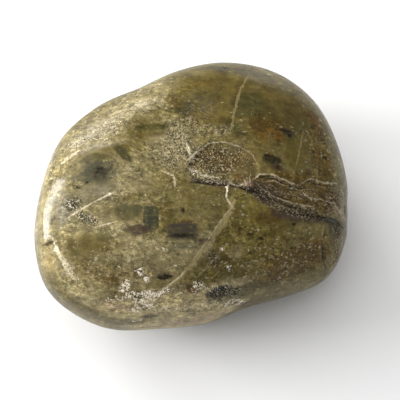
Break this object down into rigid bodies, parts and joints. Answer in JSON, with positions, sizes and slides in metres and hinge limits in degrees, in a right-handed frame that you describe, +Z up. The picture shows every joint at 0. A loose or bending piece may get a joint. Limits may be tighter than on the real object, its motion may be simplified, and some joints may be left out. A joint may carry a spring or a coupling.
{
  "type": "green opal pebble",
  "caption": "Tumble-polished green opal pebble with a shallow flake scar, pale hairline veins and dark inclusions, lying on a small worn flat.",
  "frame": {"origin": "on the plane of the resting flat, under the middle of the plan's bounding box", "axes": "+X along the pebble's length, +Y across it, +Z up from the resting flat through the crown"},
  "size_m": [0.0376, 0.0332, 0.0203],
  "materials": {
    "opal": "tumble-polished opaque olive opal, mottled green, khaki and brown, with pale flecks, hairline veins and dark inclusions; gloss broken by fine pits"
  },
  "bodies": {
    "root": {"stone": "opal"}
  },
  "joints": []
}
